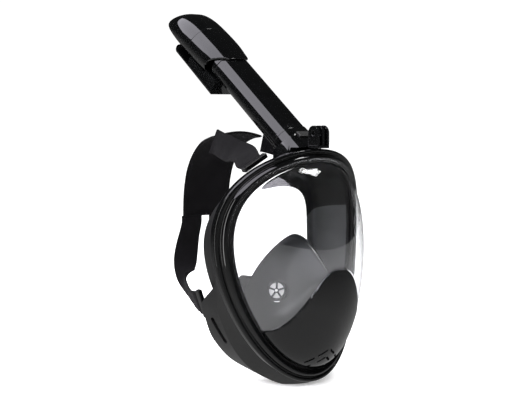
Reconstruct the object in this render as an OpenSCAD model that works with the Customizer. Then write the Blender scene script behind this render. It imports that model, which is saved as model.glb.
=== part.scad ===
/* [Lens frame] */
// Width of the glossy ring around the lens
rim_w = 180.6; // [176:0.2:186]
// Height of the glossy ring around the lens
rim_h = 232; // [226:1:238]
// How much wider the brow is than the chin
brow_fullness = 0.21; // [0.18:0.01:0.24]
// Extra width towards the top and bottom ends of the ring
end_fullness = 0.1; // [0.08:0.01:0.12]
// How far the sides of the ring sit behind its top
side_setback = 41; // [38:1:43]
// How far the chin sits behind the top
chin_setback = 6; // [4:1:8]
// Distance from the face plane forward to the top of the ring
rim_depth = 84; // [82:1:88]

/* [Lens and chin cover] */
// How far the lens bulges ahead of the ring at its middle
lens_bulge = 37; // [34:1:39]
// Wall of the lens
lens_wall = 2.4; // [2:0.1:2.6]
// Turn from the top of the ring to where the chin cover's upper edge meets it
cover_end_t = 126; // [124:1:128]
// Height of that edge's peak
cover_peak_z = 1; // [-2:0.5:3]
// How far the chin cover stands ahead of the lens surface
cover_proud = 1.6; // [1.2:0.1:2]

/* [Snorkel] */
// Backward lean of the snorkel from upright
tube_lean = 54; // [53:0.5:55]
// Outer width of the tube
tube_w = 40.6; // [40:0.2:41.2]
// Outer depth of the tube
tube_d = 30.4; // [30:0.2:30.8]
// Wall of the tube
tube_wall = 2; // [1.8:0.1:2.2]
// Length from the socket mouth to the head
tube_len = 134; // [130:1:138]
// Length of the head
head_len = 114; // [112:1:116]

/* [Valves] */
// Outer radius of a valve seat
seat_r = 11; // [10.5:0.1:11.4]
// Radius of a valve flap
flap_r = 9.4; // [9:0.1:9.6]
// Lift of a valve flap
flap_lift = 1.5; // [1:0.1:1.8]

/* [Camera mount] */
// Screw bore radius
mount_bore_r = 2.5; // [2.5:0.05:2.6]
// Width across the three prongs
mount_w = 15; // [14.8:0.1:15.2]

/* [Hidden] */

half_w = rim_w / 2;
half_h = rim_h / 2;
lens_inset = 13.2;
inner_w = half_w - lens_inset;
inner_h = half_h - lens_inset;
rim_steps = 72;
gap = 0.3;

// Outline of the ring, t in degrees clockwise from the top
function out_x(t, w = half_w) = w * sin(t) * (1 + brow_fullness * cos(t) + end_fullness * pow(cos(t), 2));
function out_z(t, h = half_h) = h * cos(t);
function base_y(x, z) =
    -rim_depth + side_setback * pow(x / half_w, 2) + chin_setback * pow((1 - z / half_h) / 2, 2);

// A point on the ring, o outwards and d forwards of its edge
function rim(t, o = 0, d = 0) =
    let (
        tx = out_x(t + 0.1) - out_x(t - 0.1),
        tz = out_z(t + 0.1) - out_z(t - 0.1),
        n = norm([tx, tz]),
        x = out_x(t) - tz / n * o,
        z = out_z(t) + tx / n * o
    )
    [x, base_y(x, z) - d, z];

// A point on the edge that the lens and the chin cover fill, as [across, up]
function edge(t) = [out_x(t, inner_w), out_z(t, inner_h)];
cover_half_w = edge(cover_end_t)[0];
cover_end_z = edge(cover_end_t)[1];

// Front surface that the lens and the chin cover share
function clip(v, low, high) = min(max(v, low), high);
function swell(x, z) =
    let (
        c = clip(z / inner_h, -1, 1),
        t = acos(c),
        w = max(out_x(t, inner_w), 0.001),
        q = clip(1 - pow(x / w, 2), 0, 1) * (1 - c * c)
    )
    lens_bulge * pow(q, 0.58);
function front_y(x, z) = base_y(x, z) - swell(x, z);
function bell_z(x) =
    let (u = pow(min(abs(x) / cover_half_w, 1), 1.2))
    cover_end_z + (cover_peak_z - cover_end_z) * (1 + cos(180 * u)) / 2;
function spread(u) = sin(90 * u);
function smooth(v, a, b) = let (u = clip((v - a) / (b - a), 0, 1)) u * u * (3 - 2 * u);
function from_top(t) = abs(t > 180 ? t - 360 : t);

// Solid between a front grid and a back grid of points
module grid_solid(front, back) {
    rows = len(front);
    cols = len(front[0]);
    total = rows * cols;
    function id(i, j, side = 0) = side * total + i * cols + j;
    faces = concat(
        [for (i = [0 : rows - 2], j = [0 : cols - 2]) [id(i, j), id(i, j + 1), id(i + 1, j + 1), id(i + 1, j)]],
        [for (i = [0 : rows - 2], j = [0 : cols - 2])
            [id(i, j, 1), id(i + 1, j, 1), id(i + 1, j + 1, 1), id(i, j + 1, 1)]],
        [for (i = [0 : rows - 2]) [id(i, 0), id(i + 1, 0), id(i + 1, 0, 1), id(i, 0, 1)]],
        [for (i = [0 : rows - 2])
            [id(i + 1, cols - 1), id(i, cols - 1), id(i, cols - 1, 1), id(i + 1, cols - 1, 1)]],
        [for (j = [0 : cols - 2]) [id(0, j + 1), id(0, j), id(0, j, 1), id(0, j + 1, 1)]],
        [for (j = [0 : cols - 2])
            [id(rows - 1, j), id(rows - 1, j + 1), id(rows - 1, j + 1, 1), id(rows - 1, j, 1)]]
    );
    polyhedron([for (side = [front, back], row = side, p = row) p], faces);
}

// Solid swept round a closed loop of closed sections
module loop_solid(rings) {
    rows = len(rings);
    cols = len(rings[0]);
    function id(i, j) = (i % rows) * cols + j % cols;
    polyhedron(
        [for (row = rings, p = row) p],
        [for (i = [0 : rows - 1], j = [0 : cols - 1]) [id(i, j), id(i + 1, j), id(i + 1, j + 1), id(i, j + 1)]]
    );
}

// Solid through a row of closed sections, flat at both ends
module loft_solid(rings) {
    rows = len(rings);
    cols = len(rings[0]);
    function id(i, j) = i * cols + j % cols;
    polyhedron(
        [for (row = rings, p = row) p],
        concat(
            [for (i = [0 : rows - 2], j = [0 : cols - 1]) [id(i, j), id(i + 1, j), id(i + 1, j + 1), id(i, j + 1)]],
            [[for (j = [0 : cols - 1]) id(0, j)]],
            [[for (j = [cols - 1 : -1 : 0]) id(rows - 1, j)]]
        )
    );
}

// --- Lens frame and what it clamps ---

// Section of the ring: flange, groove, bead and inner lip, as [outwards, forwards]
ring_section = [
    [1.5, -6], [1.5, 0.2], [0.6, 1.2], [-1.6, 1.2], [-2.4, -0.4], [-3.6, -0.4], [-4.4, 1.8],
    [-5.6, 3.2], [-7.2, 3.5], [-8.6, 2.6], [-9.2, 1], [-11.2, 0.6], [-11.2, -2.4], [-9, -2.4],
    [-9, -6]
];
module lens_frame() {
    color("#0b0b0d")
    loop_solid([for (i = [0 : rim_steps - 1]) [for (s = ring_section) rim(i * 360 / rim_steps, s[0], s[1])]]);
}

// Depth and outward swell of the rear frame: shallow at the brow, deep at the ears and chin
function ear_depth(t) =
    let (a = from_top(t)) 5 + 48 * smooth(a, 94, 114) + 8 * smooth(a, 114, 132) - 36 * smooth(a, 144, 180);
function ear_swell(t) = 9 * smooth(from_top(t), 100, 150);
rear_front = -6 - gap;
module rear_frame() {
    color("#2c2c2e")
    difference() {
        loop_solid([
            for (i = [0 : rim_steps - 1])
                let (t = i * 360 / rim_steps, e = ear_depth(t), w = ear_swell(t))
                [
                    rim(t, 1.2, rear_front), rim(t, -2.4, rear_front),
                    rim(t, w - 2.4, rear_front - 0.3 * e), rim(t, 0.7 * w - 3.4, rear_front - e),
                    rim(t, 0.7 * w - 0.8, rear_front - e), rim(t, w + 0.4, rear_front - 0.35 * e)
                ]
        ]);
        for (side = [-1, 1]) at_ear(side) ear_slot();
    }
}
ear_slot_w = 7.4;
ear_slot_l = 30;
ear_slot_at = [70, -14, -66];
ear_slot_lean = 25;
ear_slot_turn = 20;
module at_ear(side) {
    translate([side * ear_slot_at[0], ear_slot_at[1], ear_slot_at[2]])
    rotate([-ear_slot_lean, side * ear_slot_turn, 0])
    children();
}
module ear_slot() {
    cube([ear_slot_l, ear_slot_w, ear_slot_l], center = true);
}

module lens() {
    steps_s = 44;
    steps_v = 14;
    function at(i, j, back) =
        let (
            s = 0.985 * spread(2 * i / steps_s - 1),
            top = edge(s * cover_end_t),
            low_x = s * cover_half_w,
            low_z = bell_z(low_x) + 0.4,
            v = spread(j / steps_v),
            x = low_x + (top[0] - low_x) * v,
            z = low_z + (top[1] - low_z) * v
        )
        [x, front_y(x, z) + (back ? lens_wall : 0), z];
    color("#dfe3e8", 0.35)
    grid_solid(
        [for (i = [0 : steps_s]) [for (j = [0 : steps_v]) at(i, j, false)]],
        [for (i = [0 : steps_s]) [for (j = [0 : steps_v]) at(i, j, true)]]
    );
}

module lens_gasket() {
    section = [[-10, -2.9], [-15.6, -2.9], [-15.6, -5.4], [-10, -5.4]];
    color("#141416")
    loop_solid([for (i = [0 : rim_steps - 1]) [for (s = section) rim(i * 360 / rim_steps, s[0], s[1])]]);
}

cover_wall = 2.6;
vent_w = 2.2;
module chin_cover() {
    steps_s = 40;
    steps_v = 12;
    function at(i, j, back) =
        let (
            s = 0.965 * spread(2 * i / steps_s - 1),
            low = edge(180 - s * (180 - cover_end_t)),
            top_x = s * cover_half_w,
            top_z = bell_z(top_x) - 0.4,
            v = 1 - spread(1 - j / steps_v),
            x = low[0] + (top_x - low[0]) * v,
            z = low[1] + (top_z - low[1]) * v
        )
        [x, front_y(x, z) + (back ? cover_wall - cover_proud : -cover_proud), z];
    color("#101012")
    difference() {
        grid_solid(
            [for (i = [0 : steps_s]) [for (j = [0 : steps_v]) at(i, j, false)]],
            [for (i = [0 : steps_s]) [for (j = [0 : steps_v]) at(i, j, true)]]
        );
        for (side = [-1, 1]) for (row = [0, 1]) for (k = [0, 1]) vent(side, row, k);
    }
}
// Two rows of slanted slots that fall away from the middle of the chin
vent_slope = 34;
vent_top = -80;
vent_row = 9;
vent_first = 7;
vent_pitch = 13;
vent_l = 11;
vent_step = 2;
vent_reach = [60, 150];
module vent(side, row, k) {
    out = vent_first + vent_pitch * k - vent_step * row;
    translate([side * out * cos(vent_slope), 0, vent_top - vent_row * row - out * sin(vent_slope)])
    rotate([90, side * (vent_slope - 90), 0])
    translate([0, 0, vent_reach[0]])
    linear_extrude(vent_reach[1] - vent_reach[0])
    slot_shape(vent_l - vent_step * (row + k), vent_w);
}
module slot_shape(length, width) {
    square([width, length - width], center = true);
    for (e = [-1, 1]) translate([0, e * (length - width) / 2]) circle(d = width, $fn = 24);
}

// --- Soft parts that touch the face ---

skirt_steps = 52;
skirt_wall = 2;
seal_half_w = 76;
seal_up = 94;
seal_down = 102;
seal_mid_z = 2;
seal_temple_y = 9;
seal_end_y = -26;
// Share of the way from the temples, which sit a little above the middle, to the ends of the seal
seal_temple_c = 0.2;
function seal_end(c) = (c - seal_temple_c) / (c > seal_temple_c ? 1 - seal_temple_c : 1 + seal_temple_c);
function seal(t, k = 1, back = 0) =
    [
        k * seal_half_w * sin(t) * (1 + 0.16 * cos(t)),
        seal_temple_y + (seal_end_y - seal_temple_y) * pow(seal_end(cos(t)), 2) + back,
        seal_mid_z + k * (cos(t) > 0 ? seal_up : seal_down) * cos(t)
    ];
function mix(a, b, u) = a + (b - a) * u;
module face_skirt() {
    function section(t) =
        let (
            a = rim(t, -10.5, -6 - gap),
            b = rim(t, -13.5, -12),
            c = seal(t, 1, 0),
            m = mix(b, c, 0.5) + [1.5 * sin(t), 0, 1.5 * cos(t)],
            inward = [-sin(t), 0, -cos(t)] * skirt_wall
        )
        [a, b, m, c, seal(t, 0.8, -3), seal(t, 0.8, -5), c + [0, -2.5, 0] + 1.5 * inward, m + inward,
            b + inward, a + 1.6 * inward];
    color("#3a3a3c")
    loop_solid([for (i = [skirt_steps : -1 : 1]) section(i * 360 / skirt_steps)]);
}

// Nose and mouth pocket: a wedge-shaped dome open to the face
pocket_nose = [0, -103, -6];
pocket_wall = 2;
function pocket_edge(t) =
    [44 * sin(t) * (1 - 0.42 * cos(t)), -24 - 24 * pow(cos(t), 2), -28 + 58 * cos(t)];
function pocket(t, v, inset = 0) =
    let (e = pocket_edge(t), n = pocket_nose)
    [
        e[0] * pow(v, 0.8) * (1 - inset / 40),
        n[1] + (e[1] - n[1]) * v + inset * (1 - v),
        n[2] + (e[2] - n[2]) * sin(90 * v) * (1 - inset / 50)
    ];
module orinasal_pocket() {
    steps_t = 42;
    vs = [0.04, 0.12, 0.25, 0.4, 0.55, 0.7, 0.85, 1];
    rings = concat([for (v = vs) [v, 0]], [for (k = [len(vs) - 1 : -1 : 0]) [vs[k], pocket_wall]]);
    color("#3c3c3f")
    difference() {
        loft_solid([
            for (r = rings) [for (i = [0 : steps_t - 1]) pocket(i * 360 / steps_t, r[0], r[1])]
        ]);
        for (k = [0 : 2]) at_valve(k) cylinder(r = seat_r + gap, h = 30, center = true, $fn = 64);
    }
}

// Valve places: 0 right, 1 left, 2 drain, each as a point, a turn and a tilt of the way the seat faces
valve_places = [
    [[-30.5, -58, -24], -48, 12],
    [[30.5, -58, -24], 48, 12],
    [[0, -70, -68], 180, 48]
];
module at_valve(k) {
    place = valve_places[k];
    translate(place[0]) rotate([0, 0, place[1]]) rotate([90 - place[2], 0, 0]) children();
}
seat_t = 3;
seat_lip = 1;
seat_open_r = flap_r - 1.6;
spokes = 5;
spoke_w = 1.6;
hub_r = 2.4;
pip_r = 1.2;
flap_t = 0.9;
pip_proud = 1.2;
module valve_seat() {
    $fn = 48;
    linear_extrude(seat_t) difference() {
        union() {
            difference() {
                circle(r = seat_r);
                circle(r = seat_open_r);
            }
            for (k = [1 : spokes]) rotate(90 + 360 * k / spokes) translate([0, -spoke_w / 2])
                square([seat_open_r + 0.5, spoke_w]);
            circle(r = hub_r);
        }
        circle(r = pip_r + gap);
    }
    translate([0, 0, seat_t - 0.1]) linear_extrude(seat_lip + 0.1) difference() {
        circle(r = seat_r - 0.8);
        circle(r = seat_open_r + 0.8);
    }
}
module valve_flap() {
    $fn = 48;
    translate([0, 0, -gap - flap_t]) cylinder(r = flap_r, h = flap_t);
    translate([0, 0, -gap - flap_t]) cylinder(r = pip_r, h = flap_t + gap + seat_t + pip_proud);
}
module intake_seat_right() { color("#18181a") at_valve(0) valve_seat(); }
module intake_seat_left() { color("#18181a") at_valve(1) valve_seat(); }
module purge_seat() { color("#18181a") at_valve(2) valve_seat(); }
module intake_flap_right() { color("#e6e6e2") at_valve(0) valve_flap(); }
module intake_flap_left() { color("#e6e6e2") at_valve(1) valve_flap(); }
module purge_flap() { color("#e6e6e2") at_valve(2) valve_flap(); }

// --- Snorkel socket, latch and camera mount ---

socket_y = -46.7;
socket_z = 123.2;
bore_w = tube_w - 4.6;
bore_d = tube_d - 4.6;
plug_in = 12;
module on_snorkel() {
    translate([0, socket_y, socket_z]) rotate([-tube_lean, 0, 0]) children();
}
// Shape with straight flanks and half-round sides
module oval(w, d, facets = 48) {
    square([w - d, d], center = true);
    for (e = [-1, 1]) translate([e * (w - d) / 2, 0]) circle(d = d, $fn = facets);
}
module oval_pipe(w, d, wall, from, to) {
    translate([0, 0, from]) linear_extrude(to - from) difference() {
        oval(w, d);
        oval(w - 2 * wall, d - 2 * wall);
    }
}
socket_mouth = 3;
socket_skirt = 40;
socket_waist = -8;
socket_foot = [44, 24, 13];
socket_foot_y = -53;
socket_low = 104;
// Steps cut from under the socket so that it clears the ring: ahead of the first number, up to the second
socket_steps = [[-66, 119], [-78.2, 128], [100, socket_low]];
cut = 200;
module snorkel_socket() {
    color("#0d0d0f")
    difference() {
        union() {
            on_snorkel() translate([0, 0, -socket_skirt]) linear_extrude(socket_skirt + socket_mouth)
                oval(tube_w + 2, tube_d + 2);
            hull() {
                on_snorkel() translate([0, 0, socket_waist]) linear_extrude(2) oval(tube_w + 3, tube_d + 3);
                translate([0, socket_foot_y, socket_low - 1]) linear_extrude(socket_foot[2])
                    square([socket_foot[0], socket_foot[1]], center = true);
            }
        }
        on_snorkel() translate([0, 0, -plug_in]) linear_extrude(cut) oval(bore_w, bore_d);
        on_snorkel() translate([0, 0, -cut]) linear_extrude(cut) oval(bore_w - 8, bore_d - 8);
        for (step = socket_steps) translate([-cut / 2, step[0] - cut, step[1] - cut]) cube(cut);
        on_snorkel() translate([0, 0, button_at]) button_pocket();
    }
}
button_w = 16;
button_l = 8;
button_t = 3.4;
button_at = -9;
button_travel = 1.5;
button_outer = tube_d / 2 + 3;
module button_pocket() {
    translate([-button_w / 2 - gap, -tube_d, -button_l / 2 - gap])
        cube([button_w + 2 * gap, tube_d, button_l + 2 * gap]);
}
module release_button() {
    color("#151517")
    on_snorkel() translate([-button_w / 2, -button_outer, button_at - button_l / 2])
        cube([button_w, button_t, button_l]);
}

mount_y = -86.5;
mount_z = 133;
prong_t = 3;
prong_root = 12.5;
mount_head_r = 7.5;
mount_foot = [-14.8, 3];
module camera_mount() {
    color("#0e0e10")
    difference() {
        translate([0, mount_y, mount_z]) {
            for (k = [-1 : 1]) translate([k * (mount_w - prong_t) / 2 - prong_t / 2, 0, 0]) prong();
            translate([-mount_w / 2, -mount_head_r, mount_foot[0]]) cube([mount_w, 2 * mount_head_r, mount_foot[1]]);
        }
        translate([-mount_w, mount_y, mount_z]) rotate([0, 90, 0]) cylinder(r = mount_bore_r, h = 2 * mount_w, $fn = 48);
    }
}
module prong() {
    rotate([90, 0, 90]) linear_extrude(prong_t) {
        circle(r = mount_head_r, $fn = 64);
        translate([-mount_head_r, -prong_root]) square([2 * mount_head_r, prong_root]);
    }
}

// --- Head harness ---

// Flat webbing through a list of [place, half width vector, half thickness vector]
module webbing(stations) {
    loft_solid([for (s = stations) [s[0] + s[1] + s[2], s[0] + s[1] - s[2], s[0] - s[1] - s[2], s[0] - s[1] + s[2]]]);
}
function flip(p, side) = [p[0] * side, p[1], p[2]];
strap_half_t = 1;
strap_half_w = 13;
upper_t = -28;
upper_anchor = rim(upper_t, 2.4, -15.2);
lower_anchor = [-73.5, 12, -42];
lower_tilt = 20;
strap_upper_route = [
    upper_anchor, upper_anchor + [0, 10, 1], [-43, -20, 112], [-39.5, 3, 114], [-35.5, 28, 119], [-33, 43, 122.5],
    [-32.6, 53, 123.5]
];
strap_lower_route = [
    [-18.5, 114, 36], [-18.5, 114, 30], [-19.5, 119, 14], [-20, 124, -5], [-22, 124, -25], [-28, 113, -38],
    [-38, 90, -44], [-50, 65, -46], [-63, 40, -45], lower_anchor + [0, 10, 0], lower_anchor + [0, -3, 0]
];
// Webbing along a route, turning over between its stations turn_from and turn_to
module strap(route, out_first, out_last, turn_from, turn_to) {
    last = len(route) - 1;
    color("#1b1a1e")
    webbing([
        for (i = [0 : last])
            let (
                run = route[min(i + 1, last)] - route[max(i - 1, 0)],
                out = out_first + (out_last - out_first) * smooth(i, turn_from, turn_to),
                across = cross(run, out),
                face = cross(across, run)
            )
            [route[i], strap_half_w * across / norm(across), strap_half_t * face / norm(face)]
    ]);
}
module strap_upper_right() { strap(strap_upper_route, [sin(upper_t), 0, cos(upper_t)], [-1, 0, 0.1], 1, 5); }
module strap_upper_left() { mirror([1, 0, 0]) strap_upper_right(); }
module strap_lower_right() { strap(strap_lower_route, [0, 1, 0.1], [cos(lower_tilt), 0, sin(lower_tilt)], 1, 6); }
module strap_lower_left() { mirror([1, 0, 0]) strap_lower_right(); }
// Panel at the back of the head, bowed across and curving forwards over its top, as [back, up] at its sides
panel_half_w = 31;
panel_bow = 5;
panel_route = [
    [112.5, 37], [111.5, 58], [108.5, 76], [102.5, 93], [92, 108], [78, 119.5], [62, 125.5], [47, 127.5]
];
module strap_back_panel() {
    last = len(panel_route) - 1;
    function run(i) = panel_route[min(i + 1, last)] - panel_route[max(i - 1, 0)];
    function place(i, u, h) =
        let (r = run(i) / norm(run(i)), off = panel_bow * (1 - u * u) + h)
        [panel_half_w * u, panel_route[i][0] + off * r[1], panel_route[i][1] - off * r[0]];
    color("#1b1a1e")
    loft_solid([
        for (i = [last : -1 : 0])
            [for (u = [-1 : 0.25 : 1]) place(i, u, strap_half_t), for (u = [1 : -0.25 : -1]) place(i, u, -strap_half_t)]
    ]);
}
// Slotted clip, its long side along the edge that it sits on
clip_size = [5, 6.6, 31];
clip_slot = [3.2, 8, 27];
module strap_clip() {
    difference() {
        cube(clip_size, center = true);
        cube(clip_slot, center = true);
    }
}
module strap_clip_upper_right() {
    color("#101012") translate(upper_anchor) rotate([0, upper_t - 90, 0]) strap_clip();
}
module strap_clip_upper_left() { mirror([1, 0, 0]) strap_clip_upper_right(); }
module strap_clip_lower_right() {
    color("#101012") translate(lower_anchor) rotate([0, -lower_tilt, 0]) strap_clip();
}
module strap_clip_lower_left() { mirror([1, 0, 0]) strap_clip_lower_right(); }

// --- Snorkel, in its own frame: along the tube, with +Y to its rear ---

collar_l = 4;
o_ring_at = -9;
o_ring_t = 2.2;
head_start = tube_len;
plug_low = -plug_in + 1;
collar_at = 3.3;
module snorkel_tube() {
    color("#0c0c0e") on_snorkel() oval_pipe(tube_w, tube_d, tube_wall, collar_at + collar_l + 0.1, head_start - 1);
}
divider_t = 1.6;
divider_gap = 2.2;
divider_y = 4;
divider_w = tube_w - 2 * tube_wall - 2 * divider_gap;
module tube_divider() {
    color("#1a1a1c") on_snorkel()
    translate([-divider_w / 2, divider_y, 8]) cube([divider_w, divider_t, head_start - 16]);
}
module tube_collar() {
    color("#0c0c0e") on_snorkel() oval_pipe(tube_w + 1.6, tube_d + 1.6, 5.4, collar_at, collar_at + collar_l);
}
module tube_plug() {
    color("#121214") on_snorkel() difference() {
        oval_pipe(bore_w - 0.8, bore_d - 0.8, 2.4, plug_low, collar_at - 0.1);
        oval_pipe(bore_w + 2, bore_d + 2, 2.1, o_ring_at - 0.2, o_ring_at + o_ring_t + 0.2);
    }
}
module plug_o_ring() {
    color("#3b3b3d") on_snorkel() oval_pipe(bore_w - 0.7, bore_d - 0.7, 0.7, o_ring_at, o_ring_at + o_ring_t);
}
module head_base() {
    color("#101012") on_snorkel() oval_pipe(tube_w + 0.6, tube_d + 0.6, 2.3, head_start - 0.9, head_start + 6);
}

// Cap: stations from its lip to its tip, as [height, rearward shift, extra width, extra depth, tilt]
cap_start = head_start - 7.5;
cap_l = head_len + 7.5;
cap_stations = [
    [0, 0, 4, 4.2, 0], [0.11, 0.4, 7.4, 7.4, 0], [0.26, 0.9, 10.4, 10.6, 0], [0.48, 2.2, 10.9, 12.1, 3],
    [0.66, 3.5, 9.9, 11.6, 7], [0.81, 5.4, 6.4, 8.6, 13], [0.91, 8, 0.4, 3.6, 21], [0.97, 10.5, -7.6, -3.4, 27],
    [1, 12.5, -18.6, -13.4, 31]
];
cap_wall = 2.2;
cap_split = cap_start + 57.5;
// Sweep of the lip from the front of the cap to its sides, as [rearward, height above the start]
lip_sweep = [[-17, 0], [-14.4, 5.5], [-10.4, 11], [-5.5, 16], [-1.4, 19], [3.7, 21], [8, 22.5]];
module cap_form(grow) {
    hull() for (s = cap_stations)
        translate([0, s[1], cap_start + s[0] * cap_l]) rotate([s[4], 0, 0]) linear_extrude(0.1)
            oval(tube_w + s[2] + 2 * grow, tube_d + s[3] + 2 * grow, 36);
}
// Solid across the whole width from its side outline, as [rearward, height]
module side_outline(w, points) {
    translate([-w / 2, 0, 0]) rotate([90, 0, 90]) linear_extrude(w) polygon(points);
}
module head_cap_whole() {
    lip_end = cap_start + lip_sweep[len(lip_sweep) - 1][1];
    difference() {
        cap_form(0);
        intersection() {
            cap_form(-cap_wall);
            translate([-cut / 2, -cut / 2, 0]) cube([cut, cut, cap_start + cap_l - 2 * cap_wall]);
        }
        translate([0, 0, cap_start - 1]) linear_extrude(4) oval(tube_w + 0.8, tube_d + 0.8);
        side_outline(cut, concat(
            [for (p = lip_sweep) [p[0], cap_start + p[1]]], [[cut, lip_end], [cut, 0], [-17, 0]]
        ));
    }
}
module head_cap() {
    color("#0c0c0e") on_snorkel() difference() {
        head_cap_whole();
        translate([-cut / 2, -cut / 2, cap_split]) cube([cut, cut, cut]);
        translate([-hood_w / 2 - gap, hood_in - gap, 0]) cube([hood_w + 2 * gap, cut, cut + cut]);
    }
}
module head_cap_top() {
    color("#0c0c0e") on_snorkel() intersection() {
        head_cap_whole();
        translate([-cut / 2, -cut / 2, cap_split + 0.1]) cube([cut, cut, cut]);
    }
}
// Hood: a flat chamber behind the cap whose outer wall runs on past the air gap as a free lip
hood_in = tube_d / 2 + 2.1;
hood_t = 13.3;
hood_w = 41;
hood_low = cap_start + 55.5;
hood_wall = 1.8;
hood_shell = 3.4;
hood_wing_y = 12;
hood_wing_top = cap_start + lip_sweep[len(lip_sweep) - 1][1] - gap;
hood_tip = cap_start + 96;
hood_tip_w = 22;
chamber_w = 34.4;
module head_hood() {
    outer = hood_in + hood_t;
    inner = outer - hood_shell;
    color("#0f0f11") on_snorkel() difference() {
        intersection() {
            side_outline(hood_w, [
                [hood_wing_y, cap_start], [outer - 0.4, cap_start], [outer + 0.2, cap_start + 24],
                [outer, hood_tip - 15], [outer - 0.9, hood_tip - 6], [outer - 2.6, hood_tip],
                [inner - 0.3, hood_tip], [inner, hood_tip - 12], [inner, hood_low],
                [hood_in, hood_low], [hood_in, hood_wing_top], [hood_wing_y, hood_wing_top]
            ]);
            translate([0, cut / 2, 0]) rotate([90, 0, 0]) linear_extrude(cut) polygon([
                [-hood_w / 2, 0], [hood_w / 2, 0],
                [hood_w / 2, hood_tip - 24], [hood_w / 2 - 1.2, hood_tip - 13], [hood_w / 2 - 4, hood_tip - 5],
                [hood_tip_w / 2, hood_tip], [-hood_tip_w / 2, hood_tip],
                [4 - hood_w / 2, hood_tip - 5], [1.2 - hood_w / 2, hood_tip - 13], [-hood_w / 2, hood_tip - 24]
            ]);
        }
        linear_extrude(cut) oval(tube_w + 2 * gap, tube_d + 2 * gap);
        translate([-chamber_w / 2, hood_in + hood_wall, cap_start + hood_wall])
            cube([chamber_w, hood_t - hood_wall - hood_shell, cut]);
    }
}
// Middle of the chamber, front to back
chamber_y = hood_in + (hood_wall + hood_t - hood_shell) / 2;
cage_w = chamber_w - 0.4;
cage_d = 7.5;
port = [24, 4.3];
cage_t = 2.4;
cage_at = hood_low - 5;
module float_cage() {
    color("#1c1c1e") on_snorkel() translate([0, chamber_y, cage_at]) linear_extrude(cage_t) difference() {
        square([cage_w, cage_d], center = true);
        square(port, center = true);
    }
}
float_l = 26;
float_travel = 10;
float_t = 6.6;
float_w = 30;
float_seal_t = 1.8;
float_start = cage_at - float_travel - float_l - float_seal_t - 2 * gap;
module float_block() {
    color("#2a2a2c") on_snorkel() translate([0, chamber_y, float_start]) linear_extrude(float_l)
        square([float_w, float_t], center = true);
}
module float_seal() {
    color("#4a4a4c") on_snorkel() translate([0, chamber_y, float_start + float_l]) linear_extrude(float_seal_t)
        square([float_w - 2, float_t - 0.8], center = true);
}

lens_frame();
rear_frame();
lens();
lens_gasket();
chin_cover();
face_skirt();
orinasal_pocket();
intake_seat_right();
intake_seat_left();
intake_flap_right();
intake_flap_left();
purge_seat();
purge_flap();
snorkel_socket();
release_button();
camera_mount();
strap_clip_upper_right();
strap_clip_upper_left();
strap_clip_lower_right();
strap_clip_lower_left();
strap_upper_right();
strap_upper_left();
strap_lower_right();
strap_lower_left();
strap_back_panel();
snorkel_tube();
tube_divider();
tube_collar();
tube_plug();
plug_o_ring();
head_base();
head_cap();
head_cap_top();
head_hood();
float_cage();
float_block();
float_seal();
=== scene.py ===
"""Looks of a full face snorkel mask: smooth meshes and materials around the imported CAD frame.

Shapes are written in millimetres in the CAD frame and turned to metres as each mesh is made.
"""

import math

import bmesh
import bpy
import numpy as np
from mathutils import Matrix, Vector


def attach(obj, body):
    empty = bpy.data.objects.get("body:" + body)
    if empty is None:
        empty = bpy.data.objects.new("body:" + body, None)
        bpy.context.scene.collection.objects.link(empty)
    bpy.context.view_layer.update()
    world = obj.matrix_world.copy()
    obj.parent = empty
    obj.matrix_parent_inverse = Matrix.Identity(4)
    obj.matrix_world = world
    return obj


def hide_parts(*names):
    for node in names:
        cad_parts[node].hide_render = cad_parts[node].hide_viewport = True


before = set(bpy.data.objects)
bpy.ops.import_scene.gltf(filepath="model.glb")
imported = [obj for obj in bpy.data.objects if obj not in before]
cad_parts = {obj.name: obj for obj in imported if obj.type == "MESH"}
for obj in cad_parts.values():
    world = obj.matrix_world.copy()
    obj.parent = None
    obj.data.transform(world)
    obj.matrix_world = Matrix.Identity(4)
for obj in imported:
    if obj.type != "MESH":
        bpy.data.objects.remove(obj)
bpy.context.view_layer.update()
scene = bpy.context.scene
MM = 0.001

# -------- shader nodes


class Nodes:
    """The node tree of a world or material, with short ways to add nodes and links."""

    def __init__(self, owner):
        owner.use_nodes = True
        self.tree = owner.node_tree

    def feed(self, socket, value):
        """Links a node's output to the socket, or sets the socket's own value."""
        if hasattr(value, "is_output"):
            self.tree.links.new(value, socket)
        else:
            socket.default_value = value

    def feed_all(self, node, values):
        for key, value in values.items():
            self.feed(node.inputs[key.replace("_", " ")], value)

    def add(self, kind, **values):
        node = self.tree.nodes.new(kind)
        self.feed_all(node, values)
        return node

    def math(self, operation, a, b=0.0):
        node = self.add("ShaderNodeMath")
        node.operation = operation
        self.feed(node.inputs[0], a)
        self.feed(node.inputs[1], b)
        return node.outputs[0]

    def noise(self, scale, detail, rough=0.5):
        place = self.add("ShaderNodeTexCoord").outputs["Object"]
        node = self.add("ShaderNodeTexNoise", Scale=scale, Detail=detail, Roughness=rough, Vector=place)
        return node.outputs["Fac"]

    def span(self, value, low, high, from_low=0.3, from_high=0.7):
        """Takes value from one range to another, and holds it there."""
        ends = {"From_Min": from_low, "From_Max": from_high, "To_Min": low, "To_Max": high}
        return self.add("ShaderNodeMapRange", Value=value, **ends).outputs[0]

    def blend(self, fac, a, b):
        node = self.add("ShaderNodeMix")
        node.data_type = "RGBA"
        self.feed(node.inputs["Factor"], fac)
        for name, value in (("A", a), ("B", b)):
            self.feed(node.inputs[name], value if hasattr(value, "is_output") else (*value, 1))
        return node.outputs["Result"]


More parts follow.
